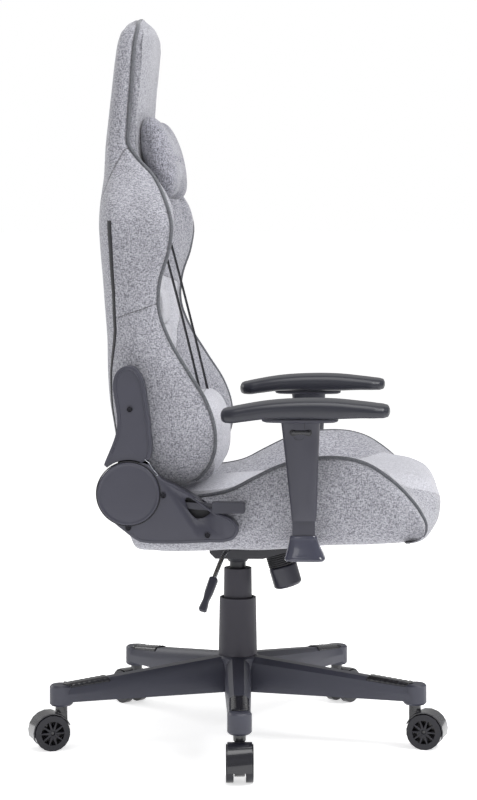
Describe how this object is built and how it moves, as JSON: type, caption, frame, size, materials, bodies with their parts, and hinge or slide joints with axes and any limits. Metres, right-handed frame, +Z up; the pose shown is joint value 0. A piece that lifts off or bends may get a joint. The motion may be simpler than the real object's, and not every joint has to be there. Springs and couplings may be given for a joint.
{
  "type": "gaming chair",
  "caption": "Racing-style office chair with bucket seat, reclining winged back, head and lumbar pillows, height-adjustable armrests, gas lift and a five-leg caster base.",
  "frame": {"origin": "on the floor, under the axis of the gas lift", "axes": "+X the way the sitter faces, +Y the sitter's left, +Z up"},
  "size_m": [0.7157, 0.727, 1.248],
  "materials": {
    "base_nylon": "satin",
    "black_plastic": "satin",
    "gloss_black": "gloss",
    "black_steel": "satin",
    "bright_steel": "satin",
    "grey_fabric": "matte",
    "light_fabric": "matte",
    "webbing": "matte",
    "rubber": "matte",
    "pad_skin": "matte",
    "plywood": "matte"
  },
  "bodies": {
    "base": {"star_base": "base_nylon", "lift_outer_tube": "black_steel", "dust_sleeve_lower": "black_plastic"},
    "upper_sleeve": {"dust_sleeve_upper": "black_plastic"},
    "swivel": {"piston_rod": "bright_steel"},
    "lift": {"gas_cylinder": "bright_steel", "tilt_housing": "black_steel", "tilt_pivot_pin": "bright_steel", "tension_boot": "rubber", "tension_spring": "bright_steel"},
    "valve": {"valve_pin": "bright_steel"},
    "rocker": {"lever_rocker": "black_steel"},
    "height_lever": {"height_lever_rod": "black_steel", "height_lever_grip": "black_plastic"},
    "knob": {"tension_knob": "black_plastic"},
    "seat": {"tilt_plate": "black_steel", "seat_board": "plywood", "seat_cushion": "grey_fabric", "lower_bracket_right": "bright_steel", "lower_bracket_left": "bright_steel", "lower_cover_right": "black_plastic", "lower_cover_left": "black_plastic", "armrest_bracket_right": "black_steel", "armrest_bracket_left": "black_steel", "armrest_skirt_right": "gloss_black", "armrest_skirt_left": "gloss_black"},
    "back": {"back_frame": "black_steel", "back_cushion": "grey_fabric", "recliner_shaft": "black_steel", "head_pillow": "grey_fabric", "lumbar_pillow": "light_fabric", "lumbar_strap_right": "webbing", "lumbar_strap_left": "webbing", "upper_bracket_right": "bright_steel", "upper_bracket_left": "bright_steel", "upper_cover_right": "black_plastic", "upper_cover_left": "black_plastic"},
    "recline_lever": {"recline_lever": "black_plastic"},
    "armrest_right": {"armrest_sleeve_right": "black_plastic"},
    "pad_right": {"armrest_pad_right": "pad_skin"},
    "button_right": {"armrest_button_right": "black_plastic"},
    "armrest_left": {"armrest_sleeve_left": "black_plastic"},
    "pad_left": {"armrest_pad_left": "pad_skin"},
    "button_left": {"armrest_button_left": "black_plastic"},
    "caster_1": {"caster_hood_1": "gloss_black"},
    "wheel_1a": {"caster_wheel_1a": "black_plastic"},
    "wheel_1b": {"caster_wheel_1b": "black_plastic"},
    "caster_2": {"caster_hood_2": "gloss_black"},
    "wheel_2a": {"caster_wheel_2a": "black_plastic"},
    "wheel_2b": {"caster_wheel_2b": "black_plastic"},
    "caster_3": {"caster_hood_3": "gloss_black"},
    "wheel_3a": {"caster_wheel_3a": "black_plastic"},
    "wheel_3b": {"caster_wheel_3b": "black_plastic"},
    "caster_4": {"caster_hood_4": "gloss_black"},
    "wheel_4a": {"caster_wheel_4a": "black_plastic"},
    "wheel_4b": {"caster_wheel_4b": "black_plastic"},
    "caster_5": {"caster_hood_5": "gloss_black"},
    "wheel_5a": {"caster_wheel_5a": "black_plastic"},
    "wheel_5b": {"caster_wheel_5b": "black_plastic"}
  },
  "joints": [
    {"name": "seat_swivel", "type": "hinge", "parent": "base", "child": "swivel", "pos_m": [0, 0, 0.2], "axis": [0, 0, 1], "continuous": true},
    {"name": "seat_lift", "type": "slide", "parent": "swivel", "child": "lift", "axis": [0, 0, 1], "range_m": [-0.06, 0.02]},
    {"name": "upper_sleeve_slide", "type": "slide", "parent": "base", "child": "upper_sleeve", "axis": [0, 0, 1], "range_m": [-0.0518, 0.0174]},
    {"name": "lever_lift", "type": "hinge", "parent": "lift", "child": "rocker", "pos_m": [-0.015, -0.048, 0.334], "axis": [-1, 0, 0], "range_deg": [0, 5], "stiffness_Nm_per_rad": 1, "springref_deg": -11.46},
    {"name": "valve_press", "type": "slide", "parent": "lift", "child": "valve", "axis": [0, 0, -1], "range_m": [0, 0.0046]},
    {"name": "tilt_lock_slide", "type": "slide", "parent": "rocker", "child": "height_lever", "axis": [0, -1, 0], "range_m": [0, 0.012]},
    {"name": "tension_knob_turn", "type": "hinge", "parent": "lift", "child": "knob", "pos_m": [0.071, 0, 0.32217], "axis": [0.2756, 0, -0.9613], "range_deg": [-360, 360]},
    {"name": "seat_tilt", "type": "hinge", "parent": "lift", "child": "seat", "pos_m": [0.06, 0, 0.351], "axis": [0, -1, 0], "range_deg": [0, 12], "stiffness_Nm_per_rad": 120, "springref_deg": -20.05},
    {"name": "back_recline", "type": "hinge", "parent": "seat", "child": "back", "pos_m": [-0.163, 0, 0.454], "axis": [0, -1, 0], "range_deg": [0, 60]},
    {"name": "recline_lever_pull", "type": "hinge", "parent": "seat", "child": "recline_lever", "pos_m": [-0.085, -0.277, 0.436], "axis": [0, -1, 0], "range_deg": [0, 20], "stiffness_Nm_per_rad": 0.4, "springref_deg": -20.05},
    {"name": "armrest_height_right", "type": "slide", "parent": "seat", "child": "armrest_right", "axis": [0, 0, 1], "range_m": [-0.02, 0.05]},
    {"name": "armrest_pad_slide_right", "type": "slide", "parent": "armrest_right", "child": "pad_right", "axis": [1, 0, 0], "range_m": [-0.025, 0.025]},
    {"name": "armrest_button_press_right", "type": "slide", "parent": "armrest_right", "child": "button_right", "axis": [0, 1, 0], "range_m": [0, 0.003], "stiffness_N_per_m": 800, "springref_m": -0.002},
    {"name": "armrest_height_left", "type": "slide", "parent": "seat", "child": "armrest_left", "axis": [0, 0, 1], "range_m": [-0.02, 0.05]},
    {"name": "armrest_pad_slide_left", "type": "slide", "parent": "armrest_left", "child": "pad_left", "axis": [1, 0, 0], "range_m": [-0.025, 0.025]},
    {"name": "armrest_button_press_left", "type": "slide", "parent": "armrest_left", "child": "button_left", "axis": [0, -1, 0], "range_m": [0, 0.003], "stiffness_N_per_m": 800, "springref_m": -0.002},
    {"name": "caster_swivel_1", "type": "hinge", "parent": "base", "child": "caster_1", "pos_m": [0.01935, -0.31641, 0.085], "axis": [0, 0, 1], "continuous": true},
    {"name": "wheel_roll_1a", "type": "hinge", "parent": "caster_1", "child": "wheel_1a", "pos_m": [0.02057, -0.33637, 0.03], "axis": [0.9981, 0.061, 0], "continuous": true},
    {"name": "wheel_roll_1b", "type": "hinge", "parent": "caster_1", "child": "wheel_1b", "pos_m": [0.02057, -0.33637, 0.03], "axis": [0.9981, 0.061, 0], "continuous": true},
    {"name": "caster_swivel_2", "type": "hinge", "parent": "base", "child": "caster_2", "pos_m": [0.3069, -0.07937, 0.085], "axis": [0, 0, 1], "continuous": true},
    {"name": "wheel_roll_2a", "type": "hinge", "parent": "caster_2", "child": "wheel_2a", "pos_m": [0.32627, -0.08438, 0.03], "axis": [0.2504, 0.9681, 0], "continuous": true},
    {"name": "wheel_roll_2b", "type": "hinge", "parent": "caster_2", "child": "wheel_2b", "pos_m": [0.32627, -0.08438, 0.03], "axis": [0.2504, 0.9681, 0], "continuous": true},
    {"name": "caster_swivel_3", "type": "hinge", "parent": "base", "child": "caster_3", "pos_m": [0.17032, 0.26736, 0.085], "axis": [0, 0, 1], "continuous": true},
    {"name": "wheel_roll_3a", "type": "hinge", "parent": "caster_3", "child": "wheel_3a", "pos_m": [0.18107, 0.28422, 0.03], "axis": [-0.8434, 0.5373, 0], "continuous": true},
    {"name": "wheel_roll_3b", "type": "hinge", "parent": "caster_3", "child": "wheel_3b", "pos_m": [0.18107, 0.28422, 0.03], "axis": [-0.8434, 0.5373, 0], "continuous": true},
    {"name": "caster_swivel_4", "type": "hinge", "parent": "base", "child": "caster_4", "pos_m": [-0.20164, 0.2446, 0.085], "axis": [0, 0, 1], "continuous": true},
    {"name": "wheel_roll_4a", "type": "hinge", "parent": "caster_4", "child": "wheel_4a", "pos_m": [-0.21436, 0.26004, 0.03], "axis": [-0.7716, -0.6361, 0], "continuous": true},
    {"name": "wheel_roll_4b", "type": "hinge", "parent": "caster_4", "child": "wheel_4b", "pos_m": [-0.21436, 0.26004, 0.03], "axis": [-0.7716, -0.6361, 0], "continuous": true},
    {"name": "caster_swivel_5", "type": "hinge", "parent": "base", "child": "caster_5", "pos_m": [-0.29494, -0.11618, 0.085], "axis": [0, 0, 1], "continuous": true},
    {"name": "wheel_roll_5a", "type": "hinge", "parent": "caster_5", "child": "wheel_5a", "pos_m": [-0.31355, -0.12351, 0.03], "axis": [0.3665, -0.9304, 0], "continuous": true},
    {"name": "wheel_roll_5b", "type": "hinge", "parent": "caster_5", "child": "wheel_5b", "pos_m": [-0.31355, -0.12351, 0.03], "axis": [0.3665, -0.9304, 0], "continuous": true}
  ],
  "couplings": [
    {"joint": "upper_sleeve_slide", "follows": "seat_lift", "ratio": 0.86},
    {"joint": "valve_press", "follows": "lever_lift", "m_per_rad": 0.052}
  ]
}
